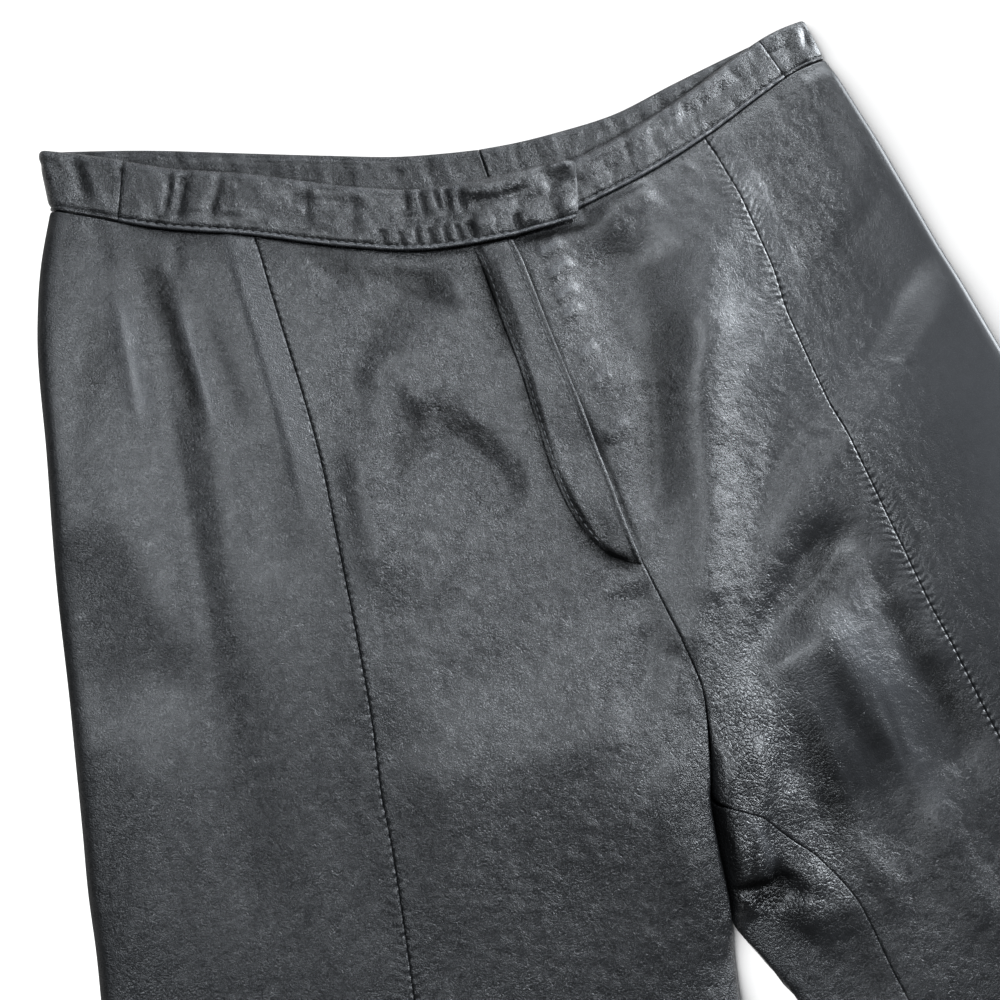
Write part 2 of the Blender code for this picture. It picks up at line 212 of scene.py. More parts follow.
# All but the last four rows are a fitting program's output, which started from folds placed one by one.
# They are not numbers chosen by hand.
FOLDS = rows_of(Fold, [
    (-162, 47, -189, -195, -2, 8.5, -1.2),
    (-185, -135, -197, -279, -2, 15.4, -1.3),
    (-171, 42, -191, -60, 0, 8.7, 0.2),
    (-205, -50, -198, -147, 0, 12.1, 1),
    (-187, 12, -225, -73, -4, 9.1, -0.6),
    (-231, -74, -233, -171, -4, 22.8, -2.6),
    (-214, -149, -191, -159, 1, 11.3, -0.5),
    (-210, -159, -247, -272, -6, 11, 1),
    (-153, 15, -169, -129, 3, 8, 0.5),
    (-148, 8, -146, -65, -2, 8.9, -1),
    (-141, 11, -139, -60, -3, 8.9, 0.5),
    (-136, -58, -148, -131, -4, 13, -1.1),
    (-113, -90, -133, -207, 3, 12.1, 1),
    (-150, -200, -156, -293, -1, 12.3, -0.7),
    (-97, -62, -105, -153, -3, 9.2, 2),
    (-77, -29, -103, -70, -4, 10.6, -1.5),
    (-79, -63, -45, -59, 1, 8.2, 1.5),
    (-98, -119, -61, -79, 1, 11.7, -1.8),
    (-71, -70, -39, -130, 7, 10.4, -2.8),
    (-79, -101, -53, -130, 1, 11.7, -0.7),
    (-100, -126, -73, -147, -4, 11.3, 0.6),
    (-10, -147, -51, -190, 3, 11.2, 0.4),
    (-6, -166, 1, -202, 2, 9.7, -1.8),
    (-105, -191, -49, -194, 3, 14, -0.6),
    (-130, -229, -5, -236, 5, 32.7, 2.8),
    (-30, -235, 2, -190, 1, 9.7, -2.2),
    (-23, -229, 14, -193, 6, 12.3, -1.3),
    (-4, -229, -26, -317, -1, 11.1, 1.9),
    (6, -262, -6, -308, -1, 8, -1.1),
    (-98, -270, -70, -330, -2, 24.8, 0.5),
    (-22, -7, -22, -54, -2, 12.1, 0.1),
    (-19, -104, 12, -104, -1, 11.8, -1.7),
    (36, -2, 77, 11, 1, 8, 2.9),
    (45, -4, 37, -83, 0, 22, -4.9),
    (47, -60, 14, -154, 2, 9.4, -3.3),
    (130, 9, 71, -50, -2, 12.7, 2.1),
    (86, -34, 51, -138, -4, 15.7, 4.1),
    (56, -106, 19, -193, 7, 11.4, 3.3),
    (100, 3, 68, -26, -3, 11.2, 1),
    (96, -18, 69, -44, 0, 10.7, 0.2),
    (65, -58, 40, -125, -2, 8, -0.7),
    (107, -48, 153, -117, 2, 71.9, -5.1),
    (134, -82, 45, -191, -4, 8.1, -1.8),
    (126, -138, 57, -195, -2, 11, -0.1),
    (119, -166, 24, -235, -4, 11.2, -6),
    (111, -161, 212, -110, -3, 19.1, 0.3),
    (42, -173, 7, -211, 0, 8.2, 1.8),
    (113, -175, 117, -212, -1, 8.6, -0.7),
    (91, -210, 116, -191, -2, 12.3, 0.4),
    (128, -224, 196, -186, 0, 11.6, 0.3),
    (174, 48, 170, -26, 0, 14, -1.1),
    (55, -216, 39, -286, 0, 15.4, -3.9),
    (50, -271, 48, -326, -2, 8.4, -1),
    (71, -193, 74, -294, -2, 29.7, 4.6),
    (30, -243, -1, -318, -1, 10.4, 5.9),
    (25, -305, 3, -319, 6, 9.2, -3.3),
    (27, -303, 24, -341, 4, 8, 1.3),
    (-5, -309, 48, -390, -10, 17.7, -10.1),
    (44, -331, 38, -375, 2, 8.1, -2.6),
    (-60, -11, -70, -182, -1, 36.5, -0.3),
    (56, -19, 93, -115, 4, 45.5, 2.7),
    (-190, -17, -204, -198, 0, 19.6, -0.6),
    (-41, -180, 49, -288, -9, 67.8, 5.5),
    (150, -40, 165, -200, 0, 20.2, -0.2),
    (83, -228, 100, -374, 3, 52.3, -1.9),
    (-114, -202, -124, -298, 4, 16.2, 1.2),
    (-47, -237, -32, -344, 4, 34.6, 2.5),
    (119, -188, 135, -313, -5, 13.6, -2.8),
    (62, -193, 92, -291, -7, 9.8, -1.7),
    (57, -234, 64, -327, 3, 13, -1.5),
    (84, -200, 101, -240, 1, 10, -0.1),
    (99, -245, 125, -298, -4, 11.2, -1.3),
    (58, -301, 72, -351, 1, 8, 1.2),
    (83, -259, 84, -333, -1, 11.8, -1.3),
    (106, -293, 113, -374, -5, 10.7, 2.2),
    (123, -199, 134, -252, -5, 9.8, 1),
    (-106, 17, -32, -16, -2, 8.5, -2.3),
    (-35, -10, -92, -39, -6, 10.6, -2.2),
    (-97, -46, -42, -51, 7, 11.7, 1.7),
    (-70, -16, -101, -2, -1, 9.6, -0.6),
    (-300, -560, -200, -640, 8, 16, -1.2),
    (-110, -610, -205, -690, -6, 16, -1.1),
    (300, -600, 205, -655, -8, 16, -1.2),
    (112, -580, 200, -672, 6, 15, -1.1),
])

# Lesser creases, too fine for the solids
CREASES = rows_of(Fold, [
    (-167, 41, -165, -59, 3, 4.5, -0.8),
    (-158, 14, -157, -58, 0, 3.6, 0.5),
    (-180, 24, -186, -54, 0, 4.5, 0.6),
    (-65, -63, -92, -98, -2, 6.0, -1.5),
    (-24, 2, -22, -58, 0, 5.0, -0.9),
    (-16, -140, 6, -168, -5, 4.0, -0.8),
    (-64, -4, -32, -27, -2, 3.5, -0.8),
    (12, -272, 3, -312, 2, 2.6, -2.2),
    (15, -276, 7, -310, 1, 3.0, 1.6),
    (-8, -306, 22, -313, 0, 2.0, -2.6),
    (18, -300, 35, -326, -2, 3.6, -2.6),
    (-6, -308, 26, -328, -3, 3.0, 1.8),
    (20, -329, 42, -308, -3, 3.2, 1.6),
    (-6, -330, 44, -352, 0, 8.0, -1.4),
    (50, -322, 40, -352, 0, 4.0, 0.7),
    (6, -12, 22, -6, 0, 3.0, 1.3),
    (7, -24, 24, -16, 0, 2.8, 1.5),
    (7, -35, 22, -28, 0, 2.6, 1.4),
    (7, -44, 21, -38, 0, 2.4, 1.2),
    (8, -65, 22, -58, 0, 3.0, 1.2),
    (8, -78, 24, -70, 0, 2.6, 0.9),
    (8, -104, 24, -96, 0, 3.0, 1.0),
    (-96, 14, -84, -8, 0, 3.0, -0.5),
    (-80, 10, -72, -10, 0, 2.6, 0.5),
    (-62, 6, -57, -12, 0, 2.6, -0.4),
    (-150, 36, -154, 16, 0, 3.2, -0.5),
    (-184, 52, -180, 26, 0, 3.6, -0.6),
    (9, -214, 11, -242, 0, 2.4, -0.6),
    (70, 12, 84, -6, 0, 3.2, -0.5),
    (92, 18, 102, 2, 0, 3.0, 0.5),
    (154, 44, 150, 20, 0, 3.4, -0.5),
    (172, 48, 168, 26, 0, 3.0, 0.5),
    (62, -232, 70, -300, 1, 2.6, -0.5),
    (94, -240, 100, -300, -1, 2.6, -0.5),
    (150, -98, 178, -112, 0, 1.6, -0.3),
])

# Where the leather is crumpled into fine wrinkles
Patch = namedtuple("Patch", "x y across down amount")
CRUMPLES = rows_of(Patch, [
    (26, -250, 26, 34, 1.0),
    (16, -318, 26, 18, 1.0),
    (8, -292, 14, 22, 0.8),
    (60, -200, 40, 50, 0.3),
    (16, -70, 14, 66, 0.4),
    (-60, 4, 60, 14, 0.35),
    (48, -310, 14, 30, 0.5),
])

# Patches of painted light: the colour is made lighter where the leather should look more brightly lit
PAINTED_LIGHT_PATCHES = rows_of(Patch, [
    (214, -180, 40, 110, 1.2),
    (190, -30, 30, 60, 0.3),
    (95, -235, 44, 50, 0.9),
    (92, -50, 34, 60, 0.6),
    (150, -110, 40, 40, 0.5),
])

# Lines of painted highlight, lighter colour along a ridge, or of painted shade, darker colour in a hollow
# (minus)
PAINTED_LIGHT_AND_SHADE_LINES = rows_of(Fold, [
    (-63, -63, -91, -97, 2, 5, -0.5),
    (-63, -63, -37, -96, -2, 6, -0.6),
    (-106, 17, -32, -16, -2, 6, -0.6),
    (-35, -10, -92, -39, -6, 6, -0.4),
    (114, -181, 137, -292, -4, 8, -0.8),
    (73, -202, 96, -289, -3, 7, -0.7),
    (54, -237, 58, -314, 2, 7, -0.7),
    (104, -170, 66, -212, 4, 12, -0.7),
    (41, -6, 65, -42, -3, 7, -0.4),
    (65, -42, 21, -135, -4, 8, -0.7),
    (-24, 2, -21, -60, 0, 5, -1.0),
    (-21, -60, -20, -125, 0, 3, -0.7),
    (-20, -125, 8, -165, -4, 4.5, -1.2),
    (-167, 41, -165, -59, 3, 4.5, -0.8),
    (-180, 22, -185, -50, 0, 5, 1.0),
    (-158, 14, -157, -58, 0, 4, 0.9),
    (-188, 15, -209, -35, 0, 5, -0.4),
    (-8, -308, 26, -318, 0, 6, -0.8),
    (84, -196, 108, -262, -3, 5, 0.6),
    (100, -262, 112, -320, -3, 6, 0.5),
    (6, -11, 20, -6, 0, 2.2, 1.4),
    (7, -22, 22, -15, 0, 2.2, 1.6),
    (8, -33, 20, -28, 0, 2.0, 1.5),
    (8, -42, 18, -37, 0, 2.0, 1.2),
    (9, -62, 20, -57, 0, 2.4, 1.2),
    (10, -76, 22, -70, 0, 2.2, 0.9),
    (12, -101, 24, -95, 0, 2.4, 0.9),
    (10, -274, 21, -308, 0, 3.0, 1.2),
])

# Lines of painted shade, plain black over the finish in narrow hollows that hardly any light reaches and as
# shadow under the tab and below the waist seam, with the share of the light that is lost
PAINTED_SHADE_LINES = rows_of(Fold, [
    (-20, -1, -19, -60, 0, 1.3, 0.7),
    (-21, -3, -18, -34, 0, 2.8, 0.45),
    (-18, -56, -16, -112, 0, 1.1, 0.65),
    (-16, -110, -9, -148, -2, 1.4, 0.8),
    (-10, -147, 6, -161, -2, 2.2, 0.85),
    (0, 6, 3.6, -90, -1, 1.3, 0.85),
    (2.4, -62, 9, -170, 1, 1.4, 0.8),
    (-4, -2.6, 46, -2.6, 0, 2.4, 0.9),
    (39.5, 34, 36.5, -4, 0, 1.1, 0.8),
    (18, 29, 38, 19, 0, 2.2, 0.5),
    (-66, -3, -32, -27, -2, 3.0, 0.4),
    (3, -262, -1, -312, 0, 2.4, 0.8),
    (-8, -308, 36, -312, 1, 3.0, 0.8),
    (58, -186, 127, -163, -4, 9.0, 0.1),
    (72, -205, 91, -295, -3, 5.0, 0.25),
    (122, -220, 131, -290, 2, 6.0, 0.15),
    (48, -266, 70, -352, 0, 5.0, 0.3),
    (75, -241, 80, -300, 0, 4.0, 0.2),
    (-63, -63, -91, -97, 2, 4.5, 0.25),
    (-63, -63, -40, -92, -3, 4.5, 0.2),
    (-104, 15, -50, -6, -2, 3.5, 0.3),
    (-168, 46, -164, -55, 2, 3.5, 0.4),
    (-176, 48, -124, 25, 0, 3.5, 0.35),
    (-126, 26, -60, 3, 0, 2.4, 0.3),
])

# Where the grain is fainter
SMOOTH = rows_of(Patch, [
    (205, -110, 70, 260, 1.0),
    (88, -80, 60, 150, 0.5),
    (85, -240, 60, 70, 0.3),
    (-60, -190, 70, 190, -0.75),
    (-70, -90, 40, 60, -0.4),
    (100, -300, 60, 60, 0.3),
    (-190, -60, 44, 90, 0.25),
])

# Where a seam draws the leather into small slanting puckers
PUCKERS = rows_of(Patch, [
    (113, 0, 30, 64, 1.0),
    (124, -110, 24, 50, 0.35),
    (131, -180, 26, 46, 0.9),
    (-146, -300, 30, 70, 0.7),
    (-116, 0, 30, 40, 0.3),
])

# Folds of the waistband, by the distance from its front end and the height above its lower edge
BAND_FOLDS = {
    "front_right": rows_of(Fold, [
        (2, 24, 15, 17, 2, 3.2, -2),
        (1, 29, 14, 30, 0, 2.2, 1.34),
        (2, 6, 10, 9, 0, 3.6, 1.57),
        (18, 4, 30, 8, 0, 3.6, 1.12),
        (4, 14, 40, 13, 1, 3.4, -1.12),
        (14, 26, 60, 27, -2, 2.6, 1.57),
        (20, 21, 58, 19, -1, 2.8, -1.57),
        (30, 0, 31, 12, 0, 1.6, -2),
        (40, 9, 52, 10, 0, 4.0, 1.34),
        (53, 30, 55, 14, 0, 2.2, -2),
        (61, 30, 62, 16, 0, 2.0, -1.57),
        (68, 31, 66, 17, 0, 1.9, -1.79),
        (76, 31, 74, 15, 0, 2.2, -2),
        (85, 31, 84, 18, 0, 2.0, -1.12),
        (52, 1, 54, 12, 0, 1.9, -1.79),
        (59, 1, 60, 12, 0, 1.7, -1.57),
        (66, 1, 66, 13, 0, 1.9, -1.79),
        (73, 1, 74, 12, 0, 1.7, -1.57),
        (80, 1, 80, 13, 0, 1.9, -1.57),
        (88, 1, 89, 11, 0, 1.7, -1.12),
        (97, 1, 97, 11, 0, 1.9, -1.12),
        (52, 15, 96, 16, 0, 3.4, -1.34),
        (96, 20, 150, 19, 1, 3.6, -1.12),
        (110, 30, 112, 6, 0, 2.6, -0.9),
        (133, 30, 131, 4, 0, 2.4, -1.12),
        (150, 12, 188, 13, 0, 3.8, 1.12),
        (168, 30, 173, 6, 0, 2.2, -1.34),
        (184, 30, 187, 2, 0, 2.4, -2),
        (191, 30, 193, 4, 0, 2.2, -1.79),
    ]),
    "front_left": rows_of(Fold, [
        (30, 12, 96, 11, -2, 3.0, -1.3),
        (44, 19, 104, 18, 0, 2.4, 1.0),
        (46, 22, 44, 6, 0, 2.0, -0.5),
        (60, 18, 63, 4, 0, 1.6, -0.35),
        (78, 22, 74, 9, 0, 1.6, -0.5),
        (92, 12, 89, 2, 0, 1.6, -0.5),
        (92, 11, 164, 12, 1, 2.8, -1.3),
        (108, 20, 150, 20, 0, 2.2, 0.8),
        (117, 22, 112, 12, 0, 1.8, -0.4),
        (140, 10, 137, 1, 0, 1.6, -0.4),
        (148, 22, 151, 8, 0, 2.0, -0.6),
    ]),
    "back_right": rows_of(Fold, [
        (32, 24, 150, 24, 0, 2.0, -0.78),
        (150, 25, 225, 23, 0, 2.0, -0.78),
        (216, 30, 219, 6, 0, 2.6, -1.79),
        (230, 28, 242, 12, 0, 3.0, -1.34),
    ]),
    "back_left": rows_of(Fold, [
        (60, 20, 170, 21, 0, 2.2, -0.9),
        (198, 28, 204, 8, 0, 2.4, -1.57),
        (208, 14, 226, 20, 0, 2.6, -1.12),
    ]),
}

# Flat cut of each piece in metres, its area in square metres, and what it lies on
Cut = namedtuple("Cut", "width length area under")

# Grid of the shells
FINE_STEP = 1.6
FINE_TO = 345.0
FAR_STEP = 8.0
BAND_STEP = 1.2
BACK_STEPS = {"right": 3.5, "left": 2.2}

AIM = (-0.02, 0.30, 0)  # the lights of the garment point here
COOL = (0.89, 0.945, 1.0)
WHITE = (1.0, 1.0, 1.0)


def read(rows, column, at):
    """One column of a table, read smoothly between its rows."""
    first = np.array([row[0] for row in rows], dtype=float)
    value = np.array([getattr(row, column) for row in rows], dtype=float)
    slope = np.gradient(value, first)
    below = np.clip(np.searchsorted(first, at, side="right") - 1, 0, len(rows) - 2)
    step = first[below + 1] - first[below]
    t = np.clip((at - first[below]) / step, 0, 1)
    start = value[below] * (1 + 2 * t) * (1 - t) ** 2 + slope[below] * step * t * (1 - t) ** 2
    end = value[below + 1] * t * t * (3 - 2 * t) - slope[below + 1] * step * t * t * (1 - t)
    return start + end


def ease(t):
    """Smooth step from 0 to 1."""
    t = np.clip(t, 0, 1)
    return t * t * (3 - 2 * t)


def bell(off, width):
    """Height of a soft hump, 1 in its middle, at a distance from there."""
    return np.exp(-((off / width) ** 2))


def points_at(line, measure, at):
    """Points of a line at places given by a measure that grows along it."""
    return np.stack([np.interp(at, measure, line[:, axis]) for axis in range(3)], axis=-1)


def relief_of(folds, x, y):
    """Height that folds add at a place in the garment's plane."""
    relief = np.zeros(np.broadcast(x, y).shape)
    for fold in folds:
        run_x = fold.end_x - fold.start_x
        run_y = fold.end_y - fold.start_y
        length = math.hypot(run_x, run_y)
        t = ((x - fold.start_x) * run_x + (y - fold.start_y) * run_y) / length**2
        off = ((y - fold.start_y) * run_x - (x - fold.start_x) * run_y) / length
        off = off - fold.bow * 4 * t * (1 - t)
        end = ease(t / 0.3) * ease((1 - t) / 0.3)
        relief += fold.depth * end * bell(off, fold.width)
    return relief


def amount_of(patches, x, y):
    """How strongly the patches together cover a place in the garment's plane."""
    amount = np.zeros(np.broadcast(x, y).shape)
    for patch in patches:
        away = ((x - patch.x) / patch.across) ** 2 + ((y - patch.y) / patch.down) ** 2
        amount += patch.amount * np.exp(-away)
    return amount


def soften(space, least, most):
    """Space kept between two bounds, turning smoothly towards them."""
    above = least + TURN * np.logaddexp(0, (space - least) / TURN)
    return most - TURN * np.logaddexp(0, (most - above) / TURN)


def round_edge(run, roll, reach):
    """Distance in from a folded edge, and level from -1 under to 1 on top, at a length of leather from it."""
    angle = np.clip(run / reach, -1, 1) * math.pi / 2
    inset = roll * (1 - np.cos(angle)) + np.maximum(np.abs(run) - reach, 0)
    return inset, np.sin(angle)


def rim(off, wide=EDGE):
    """Share of the wall that is left at a distance in from an edge that is rounded over a width."""
    return np.sqrt(1 - (1 - np.clip(off / wide, 0, 1)) ** 2)


EDGE_STEPS = EDGE * (1 - np.cos(np.linspace(0, math.pi / 2, 5)))


class Half:
    """One half of the trousers: a flattened tube, open along the middle above the crotch."""

    def __init__(self, name, side, rows):
        self.name = name
        self.side = side
        self.rows = rows

    def inner(self, along):
        """How far out the inner edge lies."""
        if self.side < 0:
            return read(self.rows, "inner", along)
        return np.maximum(read(self.rows, "inner", along), -read(RIGHT_ROWS, "inner", along))

    def width(self, along):
        """Distance between the inner and the outer edge."""
        reach_out = read(self.rows, "outer", along) - self.inner(along)
        return np.hypot(reach_out, read(self.rows, "rise", along))

    def waist(self):
        """Width of the half along the waist seam."""
        return float(self.width(np.zeros(1))[0])

    def plan(self, along, share, under):
        """Place in the garment's plane; under is True on the back layer."""
        inner = self.inner(along)
        fade = 1 - ease(along / WAIST_FALL)
        front = read(WAIST_LINE, "front_" + self.name, share)
        back = read(WAIST_LINE, "back_" + self.name, share) - BACK_RISE * (1 - share)
        x = inner + (read(self.rows, "outer", along) - inner) * share
        y = -along + read(self.rows, "rise", along) * share - fade * np.where(under, back, front)
        return self.side * x, y

    def space(self, along, share, x, y):
        """Space between the two layers of leather."""
        width = self.width(along)
        legs = ease((along - FORK) / 50)
        space = REST_SPACE + FOLD_SPACE * bell(width * (1 - share), FOLD_SPREAD)
        space = space + legs * FOLD_SPACE * bell(width * share, FOLD_SPREAD)
        if self.side < 0:
            fly = (1 - ease((along - 140) / 50)) * bell(width * share, FLY_SPREAD)
            space = space + FLY_LIFT * fly
        space = space - WAIST_DIP * bell(along, DIP_WIDTH) + HEM_STEP * ease((along - LEG_END + HEM) / 2.5)
        drawn = 1 - 0.7 * bell(along, DRAWN_WIDTH)
        relief = relief_of(FOLDS, x, y) * drawn + relief_of(CREASES, x, y)
        return soften(space + relief, LEAST_SPACE, MOST_SPACE)

    def surface(self, along, distance, level, proud):
        """Middle of the leather at a distance out from the inner edge, level -1 being the back layer."""
        share = distance / self.width(along)
        x, y = self.plan(along, share, level < 0)
        top = WALL * 1.5 + self.space(along, share, x, y) + proud
        z = WALL / 2 + (top - WALL / 2) * (1 + level) / 2
        return np.stack(np.broadcast_arrays(x, y, z), axis=-1)

    def inner_start(self, along):
        """Distance from the inner edge to where the leather stands at the fold, or stops short of it."""
        turned = np.clip(-read(self.rows, "turn", along) / REACH, 0, 1)
        stop = np.where(along < CROTCH, turned, 0.0) * math.pi / 2
        return SEAM_GAP / 2 + FOLD_WALL * np.cos(stop) - ROLL * (1 - np.cos(stop))

    def from_inner(self, along, run, layer):
        """A point at a length of leather from the inner fold; layer is 1 in front, -1 at the back."""
        inset, level = round_edge(run, ROLL, REACH)
        return self.surface(along, inset + self.inner_start(along), level * layer, 0.0)

    def from_outer(self, along, run, proud):
        """A point by the length of leather from the outer fold, plus being towards the front."""
        inset, level = round_edge(run, ROLL, REACH)
        return self.surface(along, self.width(along) - WALL / 2 - inset, level, proud)

    def seam_from_inner(self, along):
        """Length of leather from the inner fold to the panel seam."""
        distance = read(self.rows, "seam", along) * self.width(along) - SEAM_GAP / 2
        return distance - self.inner_start(along) - ROLL + REACH

    def seam_from_outer(self, along):
        """Length of leather from the outer fold to the panel seam."""
        distance = (1 - read(self.rows, "seam", along)) * self.width(along) - SEAM_GAP / 2
        return distance - WALL / 2 - ROLL + REACH


RIGHT = Half("right", -1, RIGHT_ROWS)
LEFT = Half("left", 1, LEFT_ROWS)


def leg_stations():
    """Where the rows of every panel lie, closer together in the upper part and at both ends."""
    near = np.arange(EDGE, FINE_TO, FINE_STEP)
    far = np.linspace(FINE_TO, LEG_END - EDGE, 2 + round((LEG_END - FINE_TO) / FAR_STEP))
    return np.concatenate([EDGE_STEPS[:-1], near, far, LEG_END - EDGE_STEPS[-2::-1]])


def runs_between(start, end, step):
    """Places of a panel's columns from one cut edge to the other, closer together at its rounded edges."""
    count = max(2, round(float(np.max(end - start)) / step))
    inside = start + EDGE + (end - start - 2 * EDGE) * np.linspace(0, 1, count + 1)
    return np.concatenate([start + EDGE_STEPS[:-1], inside, end - EDGE_STEPS[-2::-1]], axis=1)


def inner_edges(half, along):
    """Where the front and the back panel start, each as a length of leather from the inner fold."""
    turn = read(half.rows, "turn", along)
    apart = SEAM_GAP / 2 + TIP * bell(turn, 5)
    above = np.maximum(-turn, SEAM_GAP / 2 + TIP)
    front = np.where(along < CROTCH, above, -turn + apart)
    back = np.where(along < CROTCH, above, turn + apart)
    return front, back


def wall_of(along, runs):
    """Half the wall of a panel, rounded off towards its four edges."""
    ends = rim(along) * rim(LEG_END - along)
    return WALL / 2 * ends * rim(runs - runs[:, :1]) * rim(runs[:, -1:] - runs)


def inner_leather(half, stations, layer, step):
    """Panel from the centre or inside leg seam to the panel seam; layer is 1 in front, -1 at the back."""
    along = stations[:, None]
    start = inner_edges(half, along)[0 if layer > 0 else 1]
    runs = runs_between(start, half.seam_from_inner(along), step)
    marks = {"from_seam": runs[:, -1:] - runs, "down": along}
    return half.from_inner(along, runs, layer), wall_of(along, runs), marks


def front_leather(half, stations):
    """Front panel."""
    return inner_leather(half, stations, 1, FINE_STEP)


def back_leather(half, stations):
    """Back panel, on a coarser grid."""
    return inner_leather(half, stations, -1, BACK_STEPS[half.name])


def side_leather(half, stations):
    """Side panel, from the front seam round the outer fold to the back seam."""
    along = stations[:, None]
    seam = half.seam_from_outer(along)
    front = runs_between(-seam, -REACH + 0 * seam, FINE_STEP)[:, : -len(EDGE_STEPS)]
    fold = REACH * np.linspace(-1, 1, 13)[None, :] * np.ones_like(seam)
    back = runs_between(REACH + 0 * seam, seam, 5.0)[:, len(EDGE_STEPS) :]
    runs = np.concatenate([front, fold, back], axis=1)
    from_seam = runs - runs[:, :1]
    past = 1 - ease((from_seam - ALLOWANCE) / 4)
    pressed = np.where(from_seam < ALLOWANCE, from_seam / ALLOWANCE, past)
    shown = 1 - ease((along - 90) / 50) if half.side < 0 else 0.4 * (1 - ease((along - 60) / 60))
    # fold marks the rolled outer fold, made rougher and covered with painted shade
    marks = {"from_seam": from_seam, "down": along, "fold": bell(runs, 4.5)}
    # Painted highlight: where it shows, the pressed seam allowance is coloured lighter
    marks["pressed"] = shown * (pressed > 0.02)
    return half.from_outer(along, -runs, 0.5 * pressed * shown), wall_of(along, runs), marks


def band_edge(half, share, under):
    """Waist seam at a share of the way out, going straight on past the centre front."""
    along = np.zeros_like(share)
    x, y = half.plan(along, np.maximum(share, 0), under)
    past = np.minimum(share, 0) * half.width(along)
    return x + half.side * past, y - 0.04 * past


def band_grid(half, layer, share, up, middle):
    """Points of a waistband piece at shares of the way out and of its height."""
    piece = BANDS[layer + "_" + half.name]
    under = layer == "back"
    x, y = band_edge(half, share, under)
    ahead_x, ahead_y = band_edge(half, share + 0.02, under)
    behind_x, behind_y = band_edge(half, share - 0.02, under)
    slope = (ahead_y - behind_y) / np.abs(ahead_x - behind_x)
    square = ease(share / 0.15)
    side = ease((share - 0.8) / 0.2)
    tab = TAB_LEAN * np.minimum(share, 0) * half.width(0 * share) / TAB_LENGTH
    lean = (piece.middle_lean * (1 - square) - slope * square) * (1 - side) + piece.side_lean * side + tab
    height = piece.middle_height + (piece.side_height - piece.middle_height) * np.clip(share, 0, 1)
    near_side = np.clip(BAND_CORNER - (1 - share) * half.width(0 * share), 0, BAND_CORNER)
    height = height - 0.8 * (BAND_CORNER - np.sqrt(BAND_CORNER**2 - near_side**2))
    upright = 1 / np.sqrt(1 + lean**2)
    foot = SEAM_GAP + FLARE_GAP * ease((share - 0.9) / 0.1)
    out = foot + (height - foot) * up
    x = x + half.side * lean * upright * out
    y = y + upright * out
    return np.stack(np.broadcast_arrays(x, y, middle), axis=-1)


def band_heights(height):
    """Heights of a band's lines as shares of it, close together at its edges and its stitched groove."""
    low = np.array([0.0, 0.1, 0.25, 0.5, 0.75, 1.0, 1.25, 1.5, 1.75, 2.0, 2.25, 2.5, 2.8, 3.3, 4.0])
    high = height - EDGE_STEPS[::-1]
    return np.concatenate([low, np.arange(5.0, height - EDGE - 0.4, 1.1), high])[None, :] / height


def band_wall(length, up, height, joint):
    """Half the thickness of a band; its last end butts if joint is true, or its first."""
    low = read(BEAD, "half", up * height)
    first, last = (EDGE, JOINT_EDGE) if joint else (JOINT_EDGE, EDGE)
    ends = rim(length, first) * rim(length[-1:] - length, last)
    return low * rim(height * (1 - up), PUFF) * ends


def bead_lift(up):
    """The bead of the lower edge stands up from the band."""
    return 0.5 * bell(up - 1.0, 0.75) - 0.15 * bell(up - 2.2, 0.5)


def raised(middle, thick, relief):
    """A band whose upper face alone is moved by the relief, its lower face staying where it lies."""
    middle[..., 2] += relief / 2
    return middle, thick * (1 + relief / BAND_WALL)


def painted_top_highlight(piece, rise):
    """Painted highlight along the rounded top of a band."""
    return 0.9 * bell(piece.middle_height - rise - 2.2, 1.5)


def lap_lift(half, share):
    """How much the front of the band is lifted: the right one lies on the left one."""
    if half.side > 0:
        return 0 * share
    return (BAND_WALL + LYING_GAP) * ease((LAP_END - share) / LAP_RISE)


def shares_between(start, end, width):
    """Rows of a band as shares of the way out, close together at its rounded first end and at the joint."""
    edge = EDGE_STEPS[:-1] / width
    count = round(abs(end - start) * width / BAND_STEP)
    inside = np.linspace(start + EDGE / width, end - JOINT_EDGE / width, count)
    return np.concatenate([start + edge, inside, end - edge[::-1] * JOINT_EDGE / EDGE])[:, None]


def front_band(half):
    """Front of the band: the right one rises over the left one and ends in the tab."""
    width = half.waist()
    piece = BANDS["front_" + half.name]
    up = band_heights(piece.middle_height)
    rise = up * piece.middle_height
    start = -TAB_LENGTH / width if half.side < 0 else 0.004
    share = shares_between(start, BAND_JOINT, width)
    grid = band_grid(half, "front", share, up, FRONT_MIDDLE + lap_lift(half, share))
    length = np.abs(share - share[:1]) * width
    if half.side < 0:
        near = np.minimum(rise, piece.middle_height - rise)
        corner = TAB_CORNER - np.sqrt(np.maximum(TAB_CORNER**2 - np.maximum(TAB_CORNER - near, 0) ** 2, 0))
        grid[..., 0] -= corner * (1 - ease(length / 16))
    relief = relief_of(BAND_FOLDS["front_" + half.name], length, rise) + bead_lift(rise)
    # Painted highlight: the bead along the lower edge and the rounded top are coloured lighter; painted shade
    # darkens the stitched groove
    highlit = 3.0 * bell(rise - 0.9, 0.7) + painted_top_highlight(piece, rise)
    marks = {"pressed": highlit, "lapped": 0.6 * bell(rise - 2.3, 0.5)}
    return (*raised(grid, band_wall(length, up, piece.middle_height, True), relief), marks)


